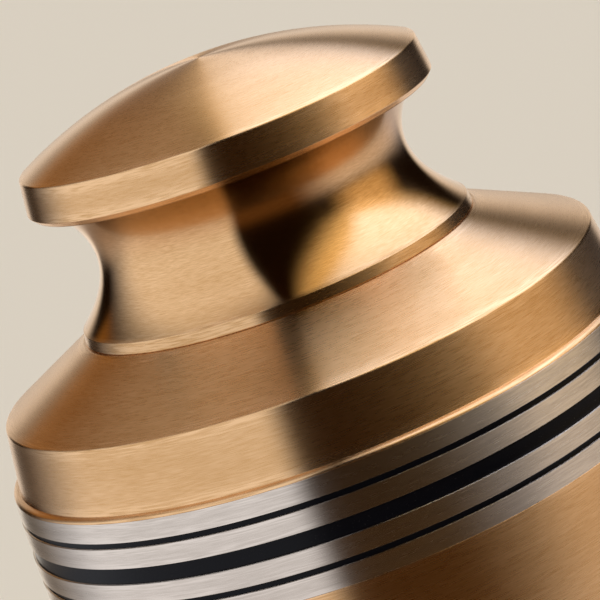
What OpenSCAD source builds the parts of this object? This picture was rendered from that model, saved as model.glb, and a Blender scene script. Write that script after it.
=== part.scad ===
// Cremation urn: a tapering vessel with a nickel band let in flush, and a lid that lifts off.
// Millimetres. +Z is up along the urn's axis, and z = 0 is the surface that it stands on.

/* [Vessel] */
// Diameter at the widest line of the belly
widest_d = 167.5; // [166:0.5:180]
// Height of the widest line of the belly
widest_z = 155.5; // [145:0.5:160]
// Fullness of the belly under its widest line, from slack to full
belly_power = 2.3; // [2:0.1:2.8]
// Diameter where the belly meets the foot's cove
ankle_d = 80; // [72:1:88]
// Height where the belly meets the foot's cove
ankle_z = 24; // [22:1:30]
// Diameter of the ledge under the collar, where the band starts
ledge_d = 165; // [163:0.5:165.5]
// Height of the sloping ledge under the collar
ledge_h = 1.1; // [0.8:0.1:2]
// Diameter of the collar at its foot
collar_foot_d = 161.2; // [158:0.2:162.4]
// Diameter of the collar at its top, which is the shoulder's outer edge
collar_top_d = 156.2; // [150:0.2:158]
// Height of the collar
collar_h = 16; // [10:0.5:24]
// Height of the shoulder's outer edge
shoulder_z = 197.5; // [192:0.5:205]
// Height of the sloping shoulder
shoulder_h = 12.8; // [8:0.2:20]
// Thickness of the vessel's wall
wall = 2.6; // [2.2:0.1:3.2]

/* [Mouth] */
// Diameter of the flat seat that the lid rests on
seat_d = 104.4; // [103.8:0.2:108]
// Inner diameter of the mouth
mouth_d = 86; // [84:0.5:90]
// Depth of the ring that stiffens the mouth
mouth_h = 11; // [8:0.5:14]
// Thickness of the ring that stiffens the mouth
mouth_wall = 3; // [2:0.5:4]

/* [Foot] */
// Diameter of the foot
foot_d = 102; // [98:1:116]
// Height of the foot's upright edge
foot_h = 4.2; // [3.4:0.1:4.6]
// Radius of the cove between the foot and the belly
cove_r = 12; // [11:0.5:12.5]
// Angle that the cove turns past its narrowest line
cove_turn = 65; // [60:1:68]
// Thickness of the floor inside the foot
floor_t = 3; // [2:0.5:4]

/* [Nickel band] */
// Height of each of the four bright strips
strip_h = 4.9; // [4:0.1:5.2]
// Height of the thin grooves, one above and one below the broad one
thin_groove_h = 1.55; // [1:0.05:2]
// Height of the broad groove in the middle
broad_groove_h = 4.2; // [2:0.1:5]
// Depth of the grooves
groove_depth = 0.8; // [0.5:0.1:0.9]
// Thickness of the band
band_t = 1.2; // [1.1:0.1:1.4]
// Thickness of the black enamel in the grooves
enamel_t = 0.3; // [0.1:0.1:0.4]

/* [Lid] */
// Diameter of the flange that rests on the seat
flange_d = 103.4; // [102.8:0.1:103.6]
// Height of the flange's upright edge
flange_h = 2.9; // [2.6:0.1:4]
// Diameter of the neck where it leaves the flange
neck_foot_d = 102.2; // [100:0.2:102.6]
// Diameter of the neck at its waist
waist_d = 82.4; // [80:0.2:86]
// Diameter of the neck where it meets the cap
neck_top_d = 95; // [92:0.5:97]
// Height of the neck between flange and cap
neck_h = 31.2; // [26:0.2:40]
// Diameter of the cap's flat underside
cap_foot_d = 104; // [100:0.2:105]
// Diameter of the cap at the foot of its rim, just above the bevel
cap_d = 106.8; // [106:0.2:112]
// Diameter of the crease between rim and dome
dome_d = 104.4; // [101:0.2:105]
// Height of the bevel under the rim
bevel_h = 1.5; // [1:0.1:3]
// Height of the rim above the bevel
rim_h = 8.8; // [7:0.2:12]
// Rise of the dome above the crease
dome_h = 12.5; // [8:0.5:20]
// Thickness of the lid's wall
lid_wall = 2.5; // [2:0.1:2.5]
// Depth of the plain spigot that drops into the mouth
spigot_h = 10; // [6:0.5:12]
// Gap all round between the spigot and the mouth
spigot_gap = 0.25; // [0.1:0.05:0.5]

/* [Edges] */
// Radius of the turned edges of rim, flange, shoulder and foot
edge_r = 0.8; // [0.3:0.1:1]
// Radius of the finer edges of seat and bevel
fine_edge_r = 0.35; // [0.1:0.05:0.4]

/* [Hidden] */
$fn = 128;

brass = [0.72, 0.52, 0.30];
nickel = [0.66, 0.64, 0.62];
black = [0.04, 0.04, 0.06];

// Straight pieces that stand for a long curve, and for a turned edge
curve_steps = 24;
edge_steps = 3;

// Heights of the vessel, from its collar
collar_z = shoulder_z - collar_h;
band_top_z = collar_z - ledge_h;
seat_z = shoulder_z + shoulder_h;

// Heights of the lid, from its seat up
flange_z = seat_z + flange_h;
cap_z = flange_z + neck_h;
rim_z = cap_z + bevel_h;
dome_z = rim_z + rim_h;
top_z = dome_z + dome_h;

// The grooves from the top one down: each one's upper edge and its height
upper_groove = [band_top_z - strip_h, thin_groove_h];
middle_groove = [upper_groove[0] - thin_groove_h - strip_h, broad_groove_h];
lower_groove = [middle_groove[0] - broad_groove_h - strip_h, thin_groove_h];
band_foot_z = lower_groove[0] - thin_groove_h - strip_h;

// The waist of the neck, at the height where the parabolas above and below it curve alike
waist_z = flange_z + neck_h / (1 + sqrt((neck_top_d - waist_d) / (neck_foot_d - waist_d)));

// The sphere that the dome is cut from
sphere_r = (pow(dome_d / 2, 2) + pow(dome_h, 2)) / (2 * dome_h);
sphere_z = top_z - sphere_r;

// The cove's circle, which touches the belly's slope at the ankle
ankle_tilt = atan((widest_d - ankle_d) / 2 * belly_power / (widest_z - ankle_z));
cove_x = ankle_d / 2 + cove_r * cos(ankle_tilt);
cove_z = ankle_z - cove_r * sin(ankle_tilt);

function unit(v) = v / norm(v);
function heading(v) = atan2(v[1], v[0]);
function backwards(line) = [for (i = [len(line) - 1:-1:0]) line[i]];
function around(x, z, r, a) = [x + r * cos(a), z + r * sin(a)];

// Arc of radius r that rounds the corner b between the straight lines to a and to c
function rounded(a, b, c, r) =
    let (
        to_a = unit(a - b),
        to_c = unit(c - b),
        half = acos(to_a * to_c) / 2,
        centre = b + unit(to_a + to_c) * r / sin(half),
        first = heading(b + to_a * r / tan(half) - centre),
        last = heading(b + to_c * r / tan(half) - centre),
        turn = (last - first + 540) % 360 - 180
    )
    [for (i = [0:edge_steps]) around(centre[0], centre[1], r, first + turn * i / edge_steps)];

// The inner points of a line, moved by d to the left of its run with mitred corners
function beside(line, d) =
    [
        for (i = [1:len(line) - 2])
            let (
                u = unit(line[i] - line[i - 1]),
                v = unit(line[i + 1] - line[i]),
                mitre = unit([-u[1] - v[1], u[0] + v[0]])
            )
            line[i] + mitre * d / (mitre * [-u[1], u[0]])
    ];

// Radius of the belly at height z: two curves that meet level at the widest line
function belly_r(z) =
    z > widest_z
        ? (widest_d - (widest_d - ledge_d) * pow((z - widest_z) / (band_top_z - widest_z), 2)) / 2
        : (widest_d
            - (widest_d - ankle_d) * pow((widest_z - z) / (widest_z - ankle_z), belly_power)) / 2;

// Points along the belly from height low to height high, set in by depth
function belly(low, high, depth, steps) =
    [for (i = [0:steps]) let (z = low + (high - low) * i / steps) [belly_r(z) - depth, z]];

// Radius of the lid's neck at height z: two parabolas that meet upright at the waist
function neck_r(z) =
    z > waist_z
        ? (waist_d + (neck_top_d - waist_d) * pow((z - waist_z) / (cap_z - waist_z), 2)) / 2
        : (waist_d + (neck_foot_d - waist_d) * pow((waist_z - z) / (waist_z - flange_z), 2)) / 2;

// Points along the neck, from the flange up to the cap
neck = [for (i = [0:curve_steps]) let (z = flange_z + neck_h * i / curve_steps) [neck_r(z), z]];

// Points up a sphere of radius r about the dome's centre, from width x in to the axis
function dome(r, x) =
    let (open = asin(x / r))
    [for (i = [curve_steps:-1:0]) around(0, sphere_z, r, 90 - open * i / curve_steps)];

// Points up the cove, from an angle past its narrowest line to the ankle
function cove(past) =
    [
        for (i = [curve_steps:-1:1])
            let (start = 180 - ankle_tilt)
            around(cove_x, cove_z, cove_r, start + (180 + past - start) * i / curve_steps)
    ];

// Corners of the vessel, from the mouth down to the foot
mouth_edge = [mouth_d / 2, seat_z];
seat_edge = [seat_d / 2, seat_z];
shoulder_edge = [collar_top_d / 2, shoulder_z];
collar_foot = [collar_foot_d / 2, collar_z];
foot_top = [foot_d / 2, foot_h];
foot_low = [foot_d / 2, 0];

module vessel() {
    outside = concat(
        rounded([0, 0], foot_low, foot_top, edge_r),
        rounded(foot_low, foot_top, cove(cove_turn)[0], edge_r),
        cove(cove_turn),
        belly(ankle_z, band_foot_z, 0, curve_steps),
        belly(band_foot_z, band_top_z, band_t, edge_steps),
        [[ledge_d / 2, band_top_z], collar_foot],
        rounded(collar_foot, shoulder_edge, seat_edge, edge_r),
        rounded(shoulder_edge, seat_edge, mouth_edge, fine_edge_r)
    );
    inside = beside(
        concat(
            [[cove_x - cove_r, 0]],
            cove(0),
            belly(ankle_z, band_top_z, 0, curve_steps),
            [collar_foot, shoulder_edge, seat_edge, mouth_edge]
        ),
        wall
    );
    ring_r = mouth_d / 2 + mouth_wall;
    ring_z = seat_z - mouth_h;
    mouth = [mouth_edge, [mouth_d / 2, ring_z], [ring_r, ring_z], [ring_r, seat_z - wall]];
    bottom = [[cove_x - cove_r - wall, floor_t], [0, floor_t], [0, 0]];

    color(brass)
        rotate_extrude() polygon(concat(outside, mouth, backwards(inside), bottom));
}

module lid() {
    bore_r = mouth_d / 2 - spigot_gap - lid_wall;
    spigot_z = seat_z - spigot_h;
    plate_z = seat_z + lid_wall;
    ceiling_z = cap_z + lid_wall;
    hollow_r = dome_d / 2 - lid_wall;

    flange_edge = [flange_d / 2, seat_z];
    flange_top = [neck_foot_d / 2, flange_z];
    cap_foot = [cap_foot_d / 2, cap_z];
    rim_foot = [cap_d / 2, rim_z];
    crease = [dome_d / 2, dome_z];
    upper_dome = dome(sphere_r, dome_d / 2 - edge_r);

    outside = concat(
        [[mouth_d / 2 - spigot_gap, spigot_z], [mouth_d / 2 - spigot_gap, seat_z], flange_edge],
        rounded(flange_edge, flange_top, neck[1], fine_edge_r),
        [for (i = [1:curve_steps]) neck[i]],
        rounded(neck[curve_steps], cap_foot, rim_foot, fine_edge_r),
        rounded(cap_foot, rim_foot, crease, fine_edge_r),
        rounded(rim_foot, crease, upper_dome[0], edge_r / 2),
        upper_dome
    );
    inside = concat(
        [[bore_r, spigot_z], [bore_r, plate_z]],
        [for (p = beside(neck, lid_wall)) if (p[1] > plate_z) p],
        [[neck_top_d / 2, ceiling_z], [hollow_r, ceiling_z]],
        dome(sphere_r - lid_wall, hollow_r)
    );

    color(brass)
        rotate_extrude() polygon(concat(outside, backwards(inside)));
}

// The two upper corners and two lower corners of a groove, from its lower edge up
function notch(groove) =
    let (high = groove[0], low = groove[0] - groove[1])
    [
        [belly_r(low), low],
        [belly_r(low) - groove_depth, low],
        [belly_r(high) - groove_depth, high],
        [belly_r(high), high]
    ];

module nickel_band() {
    outside = concat(
        [[belly_r(band_foot_z), band_foot_z]],
        notch(lower_groove),
        notch(middle_groove),
        notch(upper_groove),
        [[belly_r(band_top_z), band_top_z]]
    );

    color(nickel)
        rotate_extrude()
            polygon(concat(outside, backwards(belly(band_foot_z, band_top_z, band_t, edge_steps))));
}

// A ring of black enamel that lies on the floor of a groove
module enamel_line(groove) {
    high = groove[0];
    low = groove[0] - groove[1];
    ground = belly(low, high, groove_depth, 1);
    face = belly(low, high, groove_depth - enamel_t, 1);

    color(black)
        rotate_extrude() polygon(concat(face, backwards(ground)));
}

module enamel_line_upper() {
    enamel_line(upper_groove);
}

module enamel_line_middle() {
    enamel_line(middle_groove);
}

module enamel_line_lower() {
    enamel_line(lower_groove);
}

lid();
vessel();
nickel_band();
enamel_line_upper();
enamel_line_middle();
enamel_line_lower();
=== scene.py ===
"""Cremation urn in lathe-brushed brass, with a nickel band let in flush and black enamel in its grooves.

Metres, with Z up along the urn's axis and z = 0 on the surface that it stands on. Every piece is a turned
outline: a line of (radius, height) points carried once round Z.
"""

import math

import bpy
import numpy as np
from mathutils import Matrix, Vector


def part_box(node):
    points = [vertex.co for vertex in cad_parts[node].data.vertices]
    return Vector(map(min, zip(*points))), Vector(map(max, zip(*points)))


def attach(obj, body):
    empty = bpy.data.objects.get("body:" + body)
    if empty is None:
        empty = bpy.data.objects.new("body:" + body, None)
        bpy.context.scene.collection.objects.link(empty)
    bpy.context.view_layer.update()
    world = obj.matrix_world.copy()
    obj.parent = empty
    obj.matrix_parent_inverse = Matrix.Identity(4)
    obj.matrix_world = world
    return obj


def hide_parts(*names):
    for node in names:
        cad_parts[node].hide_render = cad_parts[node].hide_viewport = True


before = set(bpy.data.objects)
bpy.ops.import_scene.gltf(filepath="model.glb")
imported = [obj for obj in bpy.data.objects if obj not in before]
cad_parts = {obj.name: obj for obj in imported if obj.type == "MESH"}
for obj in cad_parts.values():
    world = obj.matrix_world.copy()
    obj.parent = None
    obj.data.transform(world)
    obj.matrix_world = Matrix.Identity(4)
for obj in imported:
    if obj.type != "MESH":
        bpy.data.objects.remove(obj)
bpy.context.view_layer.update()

MM = 0.001

# ---------------------------------------------------------------- the urn's measures

vessel_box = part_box("vessel")
lid_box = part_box("lid")
band_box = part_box("nickel_band")

# Heights that the CAD parts give
seat_z = vessel_box[1].z
spigot_z = lid_box[0].z
top_z = lid_box[1].z
band_foot_z = band_box[0].z
band_top_z = band_box[1].z
groove_rows = ("lower", "middle", "upper")
groove_boxes = [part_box("enamel_line_" + row) for row in groove_rows]
grooves = [(box[0].z, box[1].z) for box in groove_boxes]

# Belly and ankle
widest_r = 83.75 * MM
widest_z = 155.5 * MM
belly_power = 2.3
ankle_r = 40 * MM
ankle_z = 24 * MM
wall = 2.6 * MM

# Foot
foot_r = 51 * MM
foot_h = 4.2 * MM
cove_r = 12 * MM
cove_turn = math.radians(65)
floor_t = 3 * MM

# Ledge, collar, shoulder and mouth
ledge_r = 82.5 * MM
ledge_h = 1.1 * MM
collar_foot_r = 80.6 * MM
collar_top_r = 78.1 * MM
collar_h = 16 * MM
seat_r = 52.2 * MM
mouth_r = 43 * MM
mouth_h = 11 * MM
mouth_wall = 3 * MM
collar_z = band_top_z + ledge_h
shoulder_z = collar_z + collar_h

# Band
band_t = 1.2 * MM
groove_depth = 0.8 * MM
enamel_t = 0.3 * MM

# Lid
flange_r = 51.7 * MM
flange_h = 2.9 * MM
neck_foot_r = 51.1 * MM
waist_r = 41.2 * MM
neck_top_r = 47.5 * MM
neck_h = 31.2 * MM
cap_foot_r = 52 * MM
cap_r = 53.4 * MM
dome_r = 52.2 * MM
bevel_h = 1.5 * MM
rim_h = 8.8 * MM
lid_wall = 2.5 * MM
spigot_gap = 0.25 * MM
flange_z = seat_z + flange_h
cap_z = flange_z + neck_h
rim_z = cap_z + bevel_h
dome_z = rim_z + rim_h
dome_h = top_z - dome_z

# The dome is a cap of a sphere: radius (width squared + height squared) / (2 height)
sphere_r = (dome_r ** 2 + dome_h ** 2) / (2 * dome_h)

# Edges: turned, broken with a file, only just broken, and a groove's lip
edge_r = 0.8 * MM
fine_edge_r = 0.35 * MM
crisp_edge_r = 0.12 * MM
lip_r = 0.05 * MM

# An edge is where the outline turns by more than a radian in edge_run, and it is rubbed brighter over
# rub_reach to each side
edge_run = 3 * MM
rub_reach = 0.7 * MM

# How finely the outlines are drawn, and how near two points on one spot are
around_steps = 288
arc_steps = 6
curve_steps = 40
back_steps = 10
run_step = 3 * MM
hidden_step = 4 * run_step
one_spot = 1e-7


# ---------------------------------------------------------------- outlines

def points(*pairs):
    """The given (radius, height) pairs as an array."""
    return np.array(pairs, dtype=float)


def unit(v):
    """A vector, or each row of an array, scaled to length 1."""
    return v / np.linalg.norm(v, axis=-1, keepdims=True)


def corner(before, at, after, radius):
    """Arc of the given radius that touches the straight lines from `at` to `before` and to `after`.
    Its centre lies on the corner's bisector, radius / sin(half the corner's angle) from the corner."""
    before, at, after = np.array(before), np.array(at), np.array(after)
    one, two = unit(before - at), unit(after - at)
    half = math.acos(np.clip(one @ two, -1, 1)) / 2
    centre = at + unit(one + two) * radius / math.sin(half)
    start = at + one * radius / math.tan(half) - centre
    stop = at + two * radius / math.tan(half) - centre
    first = math.atan2(start[1], start[0])
    turn = (math.atan2(stop[1], stop[0]) - first + 3 * math.pi) % math.tau - math.pi
    return arc(centre, radius, first, first + turn, arc_steps)


def arc(centre, radius, first, last, steps):
    """Points on a circle from angle first to angle last: centre + radius (cos a, sin a)."""
    a = np.linspace(first, last, steps + 1)
    return np.stack([centre[0] + radius * np.cos(a), centre[1] + radius * np.sin(a)], axis=1)


def rise(radius_at, low, high, steps):
    """Points (radius_at(z), z) at even heights z from low to high."""
    z = np.linspace(low, high, steps + 1)
    return np.stack([radius_at(z), z], axis=1)


def belly_radius(z):
    """Radius of the belly: the widest radius, less a square law above the widest line, which meets the
    ledge, and less a power law below it, which meets the ankle."""
    above = (widest_r - ledge_r) * ((z - widest_z) / (band_top_z - widest_z)) ** 2
    below = (widest_r - ankle_r) * (np.maximum(widest_z - z, 0) / (widest_z - ankle_z)) ** belly_power
    return widest_r - np.where(z > widest_z, above, below)


def neck_radius(z):
    """Radius of the lid's neck: two parabolas that meet upright, and curve alike, at the waist."""
    spread = math.sqrt((neck_top_r - waist_r) / (neck_foot_r - waist_r))
    waist_z = flange_z + neck_h / (1 + spread)
    end_r = np.where(z > waist_z, neck_top_r, neck_foot_r)
    reach = np.where(z > waist_z, cap_z - waist_z, flange_z - waist_z)
    return waist_r + (end_r - waist_r) * ((z - waist_z) / reach) ** 2


def dome(radius, width):
    """Points up a sphere about the dome's centre, from the given distance off the axis in to the axis."""
    return arc((0, top_z - sphere_r), radius, math.acos(width / radius), math.pi / 2, curve_steps)


def cove():
    """Points up the cove between foot and belly: an arc that touches the belly's slope at the ankle."""
    slope = (widest_r - ankle_r) * belly_power / (widest_z - ankle_z)
    tilt = math.atan(slope)
    centre = (ankle_r + cove_r * math.cos(tilt), ankle_z - cove_r * math.sin(tilt))
    return arc(centre, cove_r, math.pi + cove_turn, math.pi - tilt, curve_steps)


def beside(line, distance):
    """The inner points of a line, moved to the left of its run, with mitred corners."""
    run = unit(np.diff(line, axis=0))
    left = np.stack([-run[:, 1], run[:, 0]], axis=1)
    mitre = unit(left[:-1] + left[1:])
    return line[1:-1] + mitre * distance / np.sum(mitre * left[1:], axis=1, keepdims=True)


def finely(line, step):
    """The line with its long runs cut into even pieces of at most the given step."""
    cuts = [
        np.linspace(start, stop, max(1, math.ceil(np.linalg.norm(stop - start) / step)), endpoint=False)
        for start, stop in zip(line[:-1], line[1:])
    ]
    return np.concatenate(cuts + [line[-1:]])


def vessel_outline():
    """The vessel from the middle of its underside up the outside to the mouth."""
    foot_low, foot_top = (foot_r, 0), (foot_r, foot_h)
    ledge, collar_foot = (ledge_r, band_top_z), (collar_foot_r, collar_z)
    shoulder, seat, mouth = (collar_top_r, shoulder_z), (seat_r, seat_z), (mouth_r, seat_z)
    band_foot = (belly_radius(band_foot_z), band_foot_z)
    rebate_foot = (band_foot[0] - band_t, band_foot_z)
    rebate_top = (ledge_r - band_t, band_top_z)
    hollow = cove()
    # The ledge is rounded over: a quarter of an ellipse, upright at the band and level at the collar
    quarter = arc((0, 0), 1, 0, math.pi / 2, 2 * arc_steps)
    bead = points(collar_foot) + quarter * points((ledge_r - collar_foot_r, ledge_h)) - points((0, ledge_h))
    return [
        points((0, 0)),
        corner((0, 0), foot_low, foot_top, edge_r),
        corner(foot_low, foot_top, hollow[0], edge_r),
        hollow,
        rise(belly_radius, ankle_z, band_foot_z, 2 * curve_steps)[1:-1],
        corner((band_foot[0], band_foot_z - run_step), band_foot, rebate_foot, crisp_edge_r),
        points(rebate_foot, rebate_top),
        corner(rebate_top, ledge, (ledge_r, collar_z), crisp_edge_r),
        bead[bead[:, 1] > band_top_z + crisp_edge_r],
        points(collar_foot),
        corner(collar_foot, shoulder, seat, edge_r),
        corner(shoulder, seat, mouth, fine_edge_r),
        corner(seat, mouth, (mouth_r, seat_z - mouth_h), fine_edge_r),
    ]


def vessel_hollow():
    """The inside of the vessel, from the ring that stiffens the mouth down to the middle of the floor."""
    ring_z = seat_z - mouth_h
    ring_r = mouth_r + mouth_wall
    skin = np.concatenate([
        points((ankle_r, 0)),
        cove()[curve_steps // 2:-1],
        rise(belly_radius, ankle_z, band_top_z, curve_steps),
        points((collar_foot_r, collar_z), (collar_top_r, shoulder_z), (seat_r, seat_z), (mouth_r, seat_z)),
    ])
    inside = beside(skin, wall)[::-1]
    # The wall stops a little above the floor, and one straight run joins the two
    inside = inside[inside[:, 1] > floor_t + MM]
    return [
        corner((mouth_r, seat_z), (mouth_r, ring_z), (ring_r, ring_z), fine_edge_r),
        points((ring_r, ring_z), (ring_r, seat_z - wall)),
        inside,
        points((inside[-1][0], floor_t), (0, floor_t)),
    ]


def lid_outline():
    """The lid from the spigot's foot up the outside to the top of the dome."""
    spigot_r = mouth_r - spigot_gap
    spigot_foot = (spigot_r, spigot_z)
    bore_foot = (spigot_r - lid_wall, spigot_z)
    root = (spigot_r, seat_z)
    flange_edge, flange_top = (flange_r, seat_z), (neck_foot_r, flange_z)
    neck = rise(neck_radius, flange_z, cap_z, curve_steps)
    cap_foot, rim_foot, crease = (cap_foot_r, cap_z), (cap_r, rim_z), (dome_r, dome_z)
    upper = dome(sphere_r, dome_r - 2 * edge_r)
    return [
        corner(bore_foot, spigot_foot, root, fine_edge_r),
        points(root),
        corner(root, flange_edge, flange_top, fine_edge_r),
        corner(flange_edge, flange_top, neck[1], fine_edge_r),
        neck[1:-1],
        corner(neck[-2], neck[-1], cap_foot, fine_edge_r),
        corner(neck[-1], cap_foot, rim_foot, fine_edge_r),
        corner(cap_foot, rim_foot, crease, fine_edge_r),
        corner(rim_foot, crease, upper[0], edge_r),
        upper,
    ]


def lid_hollow():
    """The inside of the lid, from the middle of its ceiling down to the spigot's foot."""
    bore_r = mouth_r - spigot_gap - lid_wall
    plate_z = seat_z + lid_wall
    ceiling_z = cap_z + lid_wall
    neck = beside(rise(neck_radius, flange_z, cap_z, curve_steps), lid_wall)
    return [
        dome(sphere_r - lid_wall, dome_r - lid_wall)[::-1],
        points((dome_r - lid_wall, ceiling_z), (neck_top_r, ceiling_z)),
        neck[neck[:, 1] > plate_z][::-1],
        points((bore_r, plate_z)),
        corner((bore_r, plate_z), (bore_r, spigot_z), (bore_r + lid_wall, spigot_z), fine_edge_r),
    ]


def band_outline():
    """The nickel band: its face with three grooves, then its back. The grooves' lips are barely broken."""
    foot = (belly_radius(band_foot_z), band_foot_z)
    top = (belly_radius(band_top_z), band_top_z)
    back = rise(lambda z: belly_radius(z) - band_t, band_foot_z, band_top_z, back_steps)[::-1]
    parts = [corner(back[-1], foot, (foot[0], foot[1] + MM), crisp_edge_r)]
    for low, high in grooves:
        low_lip, high_lip = (belly_radius(low), low), (belly_radius(high), high)
        low_root, high_root = (low_lip[0] - groove_depth, low), (high_lip[0] - groove_depth, high)
        parts += [
            corner((low_lip[0], low - MM), low_lip, low_root, lip_r),
            points(low_root, high_root),
            corner(high_root, high_lip, (high_lip[0], high + MM), lip_r),
        ]
    parts += [corner((top[0], top[1] - MM), top, back[0], crisp_edge_r), back]
    return parts


def enamel_outline(low, high):
    """A ring of enamel on a groove's floor: its face sags a little in the middle, as fired enamel does."""
    sag = 0.08 * MM
    groove_floor = rise(lambda z: belly_radius(z) - groove_depth, low, high, 1)[::-1]
    middle, half = (low + high) / 2, (high - low) / 2

    def face(z):
        return belly_radius(z) - groove_depth + enamel_t - sag * (1 - ((z - middle) / half) ** 2)

    return [rise(face, low, high, arc_steps), groove_floor]


# ---------------------------------------------------------------- turned pieces

def edge_closeness(line, length):
    """1 on the arcs that break an edge, falling off with the distance along the outline."""
    run = np.diff(line, axis=0)
    step = np.linalg.norm(run, axis=1)
    heading = np.unwrap(np.arctan2(run[:, 1], run[:, 0]))
    bend = np.zeros(len(line))
    bend[1:-1] = np.abs(np.diff(heading)) / ((step[1:] + step[:-1]) / 2)
    on_edge = length[bend > 1 / edge_run]
    if not len(on_edge):
        return bend
    away = np.abs(length[:, None] - on_edge[None, :]).min(axis=1)
    return np.exp(-away / rub_reach)


def turned(name, outside, hidden=(), closed=False):
    """Surface of revolution. The outline runs anticlockwise round the metal, so that faces look outwards.
    Ring i is (r_i cos a, r_i sin a, z_i) at even angles a, and a point on the axis is a single vertex.
    A vertex's normal is the mean of the two runs beside it, weighted by their lengths, so flats stay flat.
    The UV map holds the share of a turn and the metres along the outline."""
    shown = finely(np.concatenate(outside), run_step)
    line = shown
    if hidden:
        line = np.concatenate([shown, finely(np.concatenate(hidden), hidden_step)])
    apart = np.linalg.norm(np.diff(line, axis=0), axis=1) > one_spot
    line = line[np.insert(apart, 0, True)]
    if closed:
        line = np.concatenate([line, line[:1]])
    step = np.diff(line, axis=0)
    length = np.insert(np.cumsum(np.linalg.norm(step, axis=1)), 0, 0)

    # Normals in the outline's plane: each run's right-hand side, times its length
    side = np.stack([step[:, 1], -step[:, 0]], axis=1)
    first = side[:1] + (side[-1:] if closed else 0)
    last = side[-1:] + (side[:1] if closed else 0)
    slant = unit(np.concatenate([first, side[:-1] + side[1:], last]))

    rings = len(line)
    angle = np.arange(around_steps) * math.tau / around_steps
    spin = np.stack([np.cos(angle), np.sin(angle)], axis=1)
    place = np.empty((rings, around_steps, 3))
    place[:, :, :2] = line[:, None, :1] * spin[None]
    place[:, :, 2] = line[:, None, 1]
    normal = np.empty_like(place)
    normal[:, :, :2] = slant[:, None, :1] * spin[None]
    normal[:, :, 2] = slant[:, None, 1]

    # Corners of the face between rings i and i + 1 and angles j and j + 1
    i, j = np.meshgrid(np.arange(rings - 1), np.arange(around_steps), indexing="ij")
    i, j = i.ravel()[:, None], j.ravel()[:, None]
    ring = i + np.array([0, 0, 1, 1])
    turn = j + np.array([0, 1, 1, 0])
    corners = ring * around_steps + turn % around_steps
    coords = np.stack([turn / around_steps, length[ring]], axis=-1)

    # A ring on the axis folds into its first vertex, and its faces keep three corners
    on_axis = line[:, 0] < one_spot
    normal[on_axis] = [0, 0, 1]
    normal[on_axis, :, 2] = np.sign(slant[on_axis, 1])[:, None]
    corners = np.where(on_axis[ring], ring * around_steps, corners)
    keep = np.ones_like(corners, dtype=bool)
    keep[:, 1] &= ~on_axis[ring[:, 0]]
    keep[:, 2] &= ~on_axis[ring[:, 3]]
    if closed:
        corners = np.where(ring == rings - 1, corners - (rings - 1) * around_steps, corners)

    used, vertex = np.unique(corners[keep], return_inverse=True)
    sizes = keep.sum(axis=1)
    mesh = bpy.data.meshes.new(name)
    mesh.vertices.add(len(used))
    mesh.vertices.foreach_set("co", place.reshape(-1, 3)[used].ravel())
    mesh.loops.add(len(vertex))
    mesh.loops.foreach_set("vertex_index", vertex.astype(np.int32).ravel())
    mesh.polygons.add(len(sizes))
    mesh.polygons.foreach_set("loop_start", np.insert(np.cumsum(sizes)[:-1], 0, 0).astype(np.int32))
    mesh.polygons.foreach_set("use_smooth", np.ones(len(sizes), dtype=bool))
    mesh.uv_layers.new(name="turning").data.foreach_set("uv", coords[keep].ravel())

    closeness = np.repeat(edge_closeness(line, length), around_steps)[used]
    mesh.attributes.new("edge", "FLOAT", "POINT").data.foreach_set("value", closeness)
    within = np.repeat(np.arange(rings) >= len(shown), around_steps)[used].astype(float)
    mesh.attributes.new("within", "FLOAT", "POINT").data.foreach_set("value", within)
    mesh.update(calc_edges=True)
    mesh.validate()
    mesh.normals_split_custom_set_from_vertices(normal.reshape(-1, 3)[used])
    piece = bpy.data.objects.new(name, mesh)
    bpy.context.scene.collection.objects.link(piece)
    return piece


# ---------------------------------------------------------------- shader tools

class Value:
    """A number socket that Python's operators work on: each operation adds its Math node."""

    def __init__(self, nodes, socket):
        self.nodes = nodes
        self.socket = socket

    def math(self, operation, *values):
        made = self.nodes.add("Math", {"operation": operation}, dict(enumerate(values)))
        return Value(self.nodes, made.outputs[0])

    def __add__(self, other):
        return self.math("ADD", self, other)

    def __sub__(self, other):
        return self.math("SUBTRACT", self, other)

    def __rsub__(self, other):
        return self.math("SUBTRACT", other, self)

    def __mul__(self, other):
        return self.math("MULTIPLY", self, other)

    __radd__ = __add__
    __rmul__ = __mul__


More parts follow.
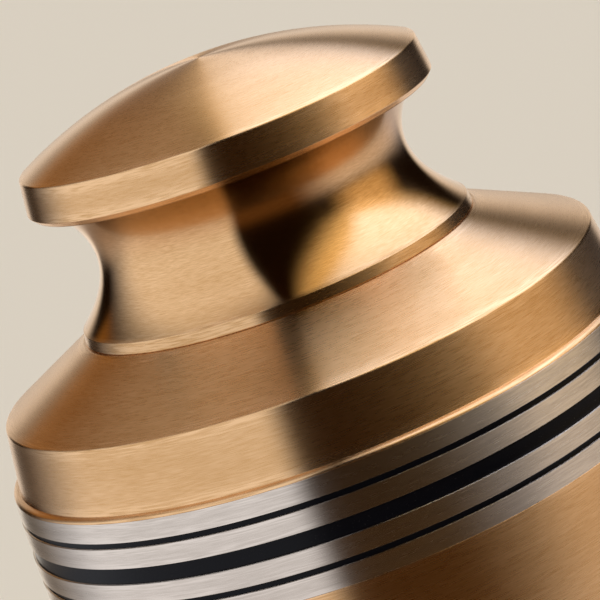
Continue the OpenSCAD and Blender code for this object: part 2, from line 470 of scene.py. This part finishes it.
class Nodes:
    """An empty node tree, and the one way to add a node to it."""

    def __init__(self, owner):
        owner.use_nodes = True
        self.tree = owner.node_tree
        self.tree.nodes.clear()

    def add(self, kind, settings=None, sockets=None):
        """A node of the given kind: its settings are set first, then its sockets get values or links."""
        made = self.tree.nodes.new("ShaderNode" + kind)
        for name, setting in (settings or {}).items():
            setattr(made, name, setting)
        for name, value in (sockets or {}).items():
            if isinstance(value, Value):
                value = value.socket
            if isinstance(value, bpy.types.NodeSocket):
                self.tree.links.new(value, made.inputs[name])
            else:
                made.inputs[name].default_value = value
        return made

    def value(self, node, output=0):
        return Value(self, node.outputs[output])

    def split(self, vector):
        """The three numbers of a vector."""
        parts = self.add("SeparateXYZ", sockets={"Vector": vector})
        return [self.value(parts, axis) for axis in range(3)]

    def join(self, x, y, z):
        """A vector of three numbers."""
        return self.add("CombineXYZ", sockets={0: x, 1: y, 2: z}).outputs[0]

    def smooth(self, value, start, stop):
        """0 up to start and 1 from stop on, with an S-curve between them."""
        ends = {"Value": value, "From Min": start, "From Max": stop}
        return self.value(self.add("MapRange", {"interpolation_type": "SMOOTHSTEP"}, ends))

    def window(self, value, low, high, low_soft, high_soft):
        """1 between low and high, with S-curved edges of the given widths that lie inside them."""
        return self.smooth(value, low, low + low_soft) * (1 - self.smooth(value, high - high_soft, high))

    def scaled(self, vector, factor):
        """The vector times a number."""
        return self.add("VectorMath", {"operation": "SCALE"}, {0: vector, "Scale": factor}).outputs[0]

    def noise(self, vector, detail):
        """Cloudy noise between 0 and 1, about 0.5, with one lump to a unit of the vector."""
        sockets = {"Vector": vector, "Scale": 1.0, "Detail": detail}
        return self.value(self.add("TexNoise", sockets=sockets), "Fac")

    def blend(self, factor, one, two):
        """The colour one where the factor is 0 and two where it is 1."""
        mix = self.add("Mix", {"data_type": "RGBA"}, {0: factor, 6: one, 7: two})
        return mix.outputs[2]

    def swap(self, factor, one, two):
        """A node that shows the shader node one where the factor is 0 and two where it is 1."""
        return self.add("MixShader", sockets={0: factor, 1: one.outputs[0], 2: two.outputs[0]})

    def output(self, kind, shader):
        """The output node, fed by the given shader node."""
        self.add("Output" + kind, sockets={"Surface": shader.outputs[0]})


def colour(red, green, blue):
    """An opaque colour in linear light."""
    return (red, green, blue, 1.0)


# ---------------------------------------------------------------- finishes

# How far the painted shade reaches down from the cap and up from the flange
cap_shade_reach = 11 * MM
flange_shade_reach = 5 * MM


def strokes(nodes, per_turn, per_metre, detail):
    """Noise drawn out round the axis: about 6 times per_turn marks in a turn, and per_metre across."""
    turn, along, _ = nodes.split(nodes.add("UVMap", {"uv_map": "turning"}).outputs[0])
    angle = turn * math.tau
    around = [angle.math(part, angle) * per_turn for part in ("COSINE", "SINE")]
    return nodes.noise(nodes.join(*around, along * per_metre), detail)


def turned_metal(name, dark, light, inside, painted_shade, roughness, coat):
    """Metal brushed round the axis on a lathe, then lacquered. It mirrors sharply round the axis and
    blurs up and down, because the scratches run round. Short strokes vary tone, gloss and height. Broken
    edges are rubbed brighter, the corners under the cap and round the flange get painted shade (a darker
    base colour), the neck is glossier, and the unseen inside is duller and coarser."""
    material = bpy.data.materials.new(name)
    nodes = Nodes(material)
    hair = strokes(nodes, per_turn=20, per_metre=5600, detail=1.0)
    short = strokes(nodes, per_turn=9, per_metre=2600, detail=1.0)
    passes = strokes(nodes, per_turn=1.2, per_metre=160, detail=2.0)
    where = nodes.add("TexCoord").outputs["Object"]
    cloud = nodes.noise(nodes.scaled(where, 22.0), detail=3.0)
    height = nodes.split(where)[2]
    edge = nodes.value(nodes.add("Attribute", {"attribute_name": "edge"}), "Fac")
    within = nodes.value(nodes.add("Attribute", {"attribute_name": "within"}), "Fac")
    rubbed = edge * nodes.smooth(short * 0.6 + cloud * 0.4, 0.38, 0.6)

    # Each noise shifts the tone about its middle by its own share
    tone = 0.5 + (hair - 0.5) * 0.6 + (short - 0.5) * 0.25 + (passes - 0.5) * 0.3 + (cloud - 0.5) * 0.3
    base = nodes.blend(nodes.smooth(tone + rubbed * 0.5, 0.0, 1.0), dark, light)
    base = nodes.blend(within * (0.75 + cloud * 0.25), base, inside)
    neck = nodes.window(height, flange_z, cap_z, MM, MM)
    # Painted shade: the base colour darkens towards the shade colour under the cap and, less, round the
    # flange
    shade_under_cap = nodes.window(height, cap_z - cap_shade_reach, cap_z + 0.5 * MM, cap_shade_reach, 0.5 * MM)
    shade_by_flange = nodes.window(height, seat_z - MM, flange_z + flange_shade_reach, MM, flange_shade_reach)
    base = nodes.blend(shade_under_cap * 0.8 + shade_by_flange * 0.2, base, painted_shade)
    gloss = roughness - neck * 0.14 + (hair - 0.5) * 0.04 + (short - 0.5) * 0.04 - rubbed * 0.04
    relief = hair * 0.2 + short * 0.5 + passes * 2.0
    bump = nodes.add("Bump", sockets={"Strength": 1.0, "Distance": 0.001 * MM, "Height": relief})

    # A quarter of a turn lays the brushing round the axis
    shader = nodes.add("BsdfPrincipled", sockets={
        "Base Color": base,
        "Metallic": 1.0,
        "Roughness": gloss + within * 0.12,
        "Anisotropic": 1.0,
        "Anisotropic Rotation": 0.25,
        "Coat Weight": coat,
        "Coat Roughness": 0.1,
        "Coat IOR": 1.5,
        "Normal": bump.outputs[0],
    })
    nodes.output("Material", shader)
    return material


def fired_enamel(name):
    """Black enamel fired in a groove: glossy and a little hazy, with faint orange peel and some dust."""
    material = bpy.data.materials.new(name)
    nodes = Nodes(material)
    where = nodes.add("TexCoord").outputs["Object"]
    peel = nodes.noise(nodes.scaled(where, 1400.0), detail=1.0)
    haze = nodes.noise(nodes.scaled(where, 60.0), detail=3.0)
    dust = nodes.smooth(nodes.noise(nodes.scaled(where, 2600.0), detail=2.0), 0.66, 0.78)
    base = nodes.blend(haze, colour(0.003, 0.003, 0.005), colour(0.006, 0.006, 0.009))
    bump = nodes.add("Bump", sockets={"Strength": 1.0, "Distance": 0.004 * MM, "Height": peel})
    shader = nodes.add("BsdfPrincipled", sockets={
        "Base Color": nodes.blend(dust * 0.5, base, colour(0.05, 0.048, 0.045)),
        "Roughness": 0.16 + haze * 0.1 + dust * 0.3,
        "Specular IOR Level": 0.12,
        "Normal": bump.outputs[0],
    })
    nodes.output("Material", shader)
    return material


# ---------------------------------------------------------------- the studio

backdrop = colour(0.69, 0.62, 0.53)

# The metal mirrors the floor within the first radius, and the studio beyond the second
mirrored_r = 0.08
unmirrored_r = 0.18


def front_camera():
    """A long lens a little above the cap, tilted so that the urn leans across the view."""
    place = Vector((0, -0.7137, 0.3656))
    yaw, pitch, roll = (math.radians(a) for a in (0.19, 13.0, -20.73))
    ahead = Vector((math.sin(yaw) * math.cos(pitch), math.cos(yaw) * math.cos(pitch), -math.sin(pitch)))
    level = ahead.cross(Vector((0, 0, 1))).normalized()
    upright = level.cross(ahead)
    right = level * math.cos(roll) + upright * math.sin(roll)
    up = upright * math.cos(roll) - level * math.sin(roll)
    data = bpy.data.cameras.new("front_camera")
    data.lens = 174.7
    data.sensor_width = 36
    data.clip_start = 0.05
    camera = bpy.data.objects.new("front_camera", data)
    turn = Matrix((right, up, -ahead)).transposed().to_4x4()
    camera.matrix_world = Matrix.Translation(place) @ turn
    bpy.context.scene.collection.objects.link(camera)
    bpy.context.scene.camera = camera


def pale_floor():
    """A wide matt floor. Past the urn's own shadow the metal mirrors the studio instead of the floor."""
    half = 12.0
    corners = [(-half, -half, 0), (half, -half, 0), (half, half, 0), (-half, half, 0)]
    mesh = bpy.data.meshes.new("studio_floor")
    mesh.from_pydata(corners, [], [(0, 1, 2, 3)])
    floor = bpy.data.objects.new("studio_floor", mesh)
    bpy.context.scene.collection.objects.link(floor)
    material = bpy.data.materials.new("studio_floor")
    nodes = Nodes(material)
    where = nodes.add("TexCoord").outputs["Object"]
    away = nodes.value(nodes.add("VectorMath", {"operation": "LENGTH"}, {0: where}), "Value")
    far = nodes.smooth(away, mirrored_r, unmirrored_r)
    glossy = nodes.value(nodes.add("LightPath"), "Is Glossy Ray")
    matt = nodes.add("BsdfDiffuse", sockets={"Color": colour(0.805, 0.716, 0.56)})
    clear = nodes.add("BsdfTransparent")
    nodes.output("Material", nodes.swap(glossy * far, matt, clear))
    mesh.materials.append(material)


def studio_world():
    """Soft boxes drawn on the sky by compass bearing, from -180 to 180 degrees with 0 at the camera and
    right positive, and by height above the horizon: a tall one on the left, a high one from the right
    round to the back, a low one on the right, and the lit floor and walls. Between them lies the dark of
    the room. Each light is a weight from 0 to 1 and a colour."""
    world = bpy.data.worlds.new("studio")
    bpy.context.scene.world = world
    nodes = Nodes(world)
    x, y, z = nodes.split(nodes.add("TexCoord").outputs["Generated"])
    height = z.math("ARCSINE", z) * math.degrees(1)

    def bearing(middle):
        """Degrees to the right of the given bearing, from -180 to 180."""
        a = math.radians(middle)
        aside = x * math.cos(a) + y * math.sin(a)
        towards = x * math.sin(a) - y * math.cos(a)
        return aside.math("ARCTAN2", aside, towards) * math.degrees(1)

    front, right, back = bearing(0), bearing(90), bearing(180)
    window = nodes.window
    lights = [
        # The dark of the room, a little lighter low down
        (1 - nodes.smooth(height, -34, -8.5) * 0.94, colour(0.124, 0.060, 0.0195)),
        # Tall soft box on the left
        (window(front, -144, -14, 44, 11) * window(height, -95, 96, 95, 30), colour(0.96, 0.99, 1.06)),
        # High soft box from the right round to the back; it starts further round where it hangs lower
        (
            nodes.smooth(right + height * 0.5, -50, 0) * (1 - nodes.smooth(right, 91, 99))
            * nodes.smooth(height - right * 0.1, 12, 32),
            colour(1.30, 1.06, 0.58),
        ),
        # Its white middle
        (window(right, -32, 96, 18, 15) * nodes.smooth(height, 22, 34), colour(0.50, 0.92, 1.85)),
        # Low panel on the right
        (window(right, -45, 30, 30, 30) * window(height, -22, 34, 20, 20), colour(0.72, 0.53, 0.27)),
        # The lit floor on the right, and the pale far wall
        (window(right, -65, 75, 55, 20) * window(height, -80, -8, 20, 20), colour(0.66, 0.68, 0.74)),
        (window(back, -32, 28, 12, 10) * window(height, -80, 28, 20, 24), colour(0.83, 0.76, 0.66)),
        # The floor behind on the left
        (window(back, 8, 62, 10, 20) * window(height, -80, -4, 20, 12), colour(0.26, 0.23, 0.20)),
        # Warm wall high up behind on the left
        (window(back, 8, 45, 4, 12) * window(height, 12, 80, 10, 15), colour(0.29, 0.14, 0.03)),
    ]
    total = (0, 0, 0)
    for weight, tint in lights:
        lit = nodes.scaled(tint[:3], weight)
        total = nodes.add("VectorMath", {"operation": "ADD"}, {0: total, 1: lit}).outputs[0]
    studio = nodes.add("Background", sockets={"Color": total, "Strength": 1.0})
    plain = nodes.add("Background", sockets={"Color": backdrop, "Strength": 1.0})
    seen = nodes.value(nodes.add("LightPath"), "Is Camera Ray")
    nodes.output("World", nodes.swap(seen, studio, plain))


# ---------------------------------------------------------------- the urn

def finish_piece(piece, material, slot, *nodes):
    """Gives a piece its finish, and lets it stand for its CAD nodes."""
    piece.data.materials.append(material)
    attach(piece, "root")
    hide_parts(*nodes)


def make_urn():
    """Turns the six pieces and gives each its finish."""
    brass = turned_metal(
        "brushed_brass",
        dark=colour(0.56, 0.30, 0.105),
        light=colour(0.90, 0.57, 0.30),
        inside=colour(0.42, 0.26, 0.12),
        # Painted shade colour under the cap and round the flange
        painted_shade=colour(0.26, 0.13, 0.03),
        roughness=0.28,
        coat=0.1,
    )
    nickel = turned_metal(
        "brushed_nickel",
        dark=colour(0.54, 0.47, 0.40),
        light=colour(0.78, 0.69, 0.60),
        inside=colour(0.40, 0.36, 0.32),
        # Painted shade colour; the band lies below where it is painted
        painted_shade=colour(0.40, 0.36, 0.32),
        roughness=0.27,
        coat=0.1,
    )
    enamel = fired_enamel("black_enamel")
    vessel = turned("vessel_turned", vessel_outline(), vessel_hollow())
    lid = turned("lid_turned", lid_hollow() + lid_outline())
    band = turned("band_turned", band_outline(), closed=True)
    finish_piece(vessel, brass, "brushed_brass", "vessel")
    finish_piece(lid, brass, "brushed_brass", "lid")
    finish_piece(band, nickel, "brushed_nickel", "nickel_band")
    for row, (low, high) in zip(groove_rows, grooves):
        ring = turned("enamel_" + row + "_fired", enamel_outline(low, high), closed=True)
        finish_piece(ring, enamel, "black_enamel", "enamel_line_" + row)


front_camera()
pale_floor()
studio_world()
make_urn()
bpy.context.scene.view_settings.view_transform = "Standard"
